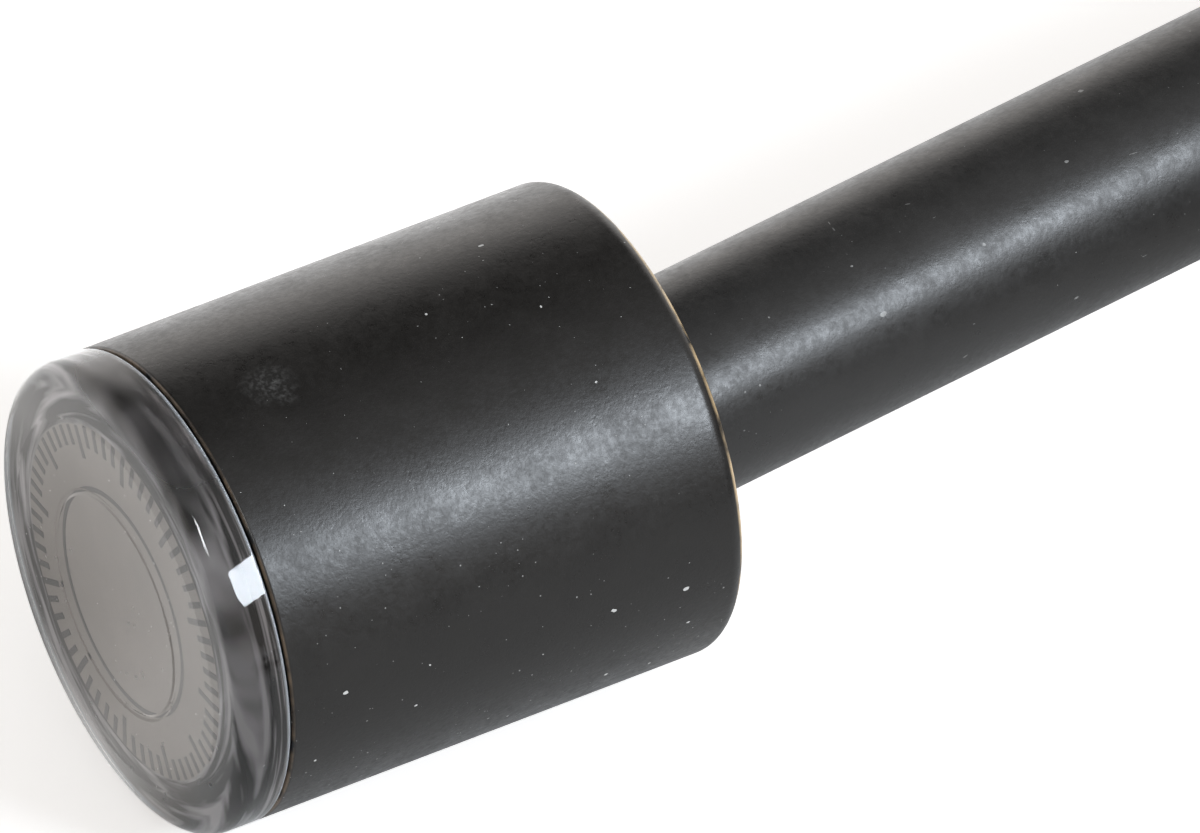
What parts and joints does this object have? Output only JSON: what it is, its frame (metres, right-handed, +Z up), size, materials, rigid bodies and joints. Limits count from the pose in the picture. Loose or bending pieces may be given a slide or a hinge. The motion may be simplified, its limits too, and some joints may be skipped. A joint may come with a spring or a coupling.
{
  "type": "cable shutter release",
  "caption": "Mechanical camera cable release: black finger-grip barrel with a clear thumb button, sheathed cable in a tied coil, and a screw-in tip with a sliding release pin.",
  "frame": {"origin": "on the floor under the middle of the head (the barrel with its thumb button), so the head's axis is 6.0 mm above it", "axes": "+X along the head's axis from the thumb button towards the cable, +Z up, +Y to the left of someone who looks along +X"},
  "size_m": [0.1036, 0.0694, 0.0131],
  "materials": {
    "barrel_black": "satin black with a fine grain",
    "clear_acrylic": "clear, polished",
    "core_dark": "dark moulded core",
    "plunger_steel": "bright plated",
    "brass": "turned",
    "spring_steel": "drawn wire",
    "black_rubber": "matt",
    "sheath_black": "satin black, finely grained",
    "tip_chrome": "bright plated, a little worn",
    "bush_nylon": "matt"
  },
  "bodies": {
    "grip": {"barrel": "barrel_black", "guide_bush": "brass", "detent_ring": "spring_steel", "stop_washer": "black_rubber", "return_spring": "spring_steel", "spring_seat": "spring_steel", "guide_tube": "brass", "sheath_ferrule": "brass", "rear_bush": "bush_nylon", "sheath_lead": "sheath_black", "sheath_coil": "sheath_black", "sheath_tail": "sheath_black", "coil_tie": "black_rubber", "tip_boot": "black_rubber", "tip_ferrule": "tip_chrome", "tip_bush": "brass", "tip_clip": "spring_steel"},
    "button": {"thumb_cap": "clear_acrylic", "button_core": "core_dark", "plunger": "plunger_steel", "wire_nipple": "brass", "inner_wire": "spring_steel"},
    "swivel": {"tip_collar": "tip_chrome", "tip_nose": "tip_chrome"},
    "pin": {"release_pin": "plunger_steel", "tip_wire": "spring_steel"}
  },
  "joints": [
    {"name": "button_travel", "type": "slide", "parent": "grip", "child": "button", "axis": [-1, 0, 0], "range_m": [0, 0.006], "deforming": ["return_spring"]},
    {"name": "release_pin_travel", "type": "slide", "parent": "grip", "child": "pin", "axis": [1, 0, 0], "range_m": [0, 0.006]},
    {"name": "collar_turn", "type": "hinge", "parent": "grip", "child": "swivel", "pos_m": [0.0088, -0.0588, 0.0038], "axis": [-1, 0, 0], "continuous": true}
  ],
  "couplings": [
    {"joint": "release_pin_travel", "follows": "button_travel", "ratio": 1}
  ]
}
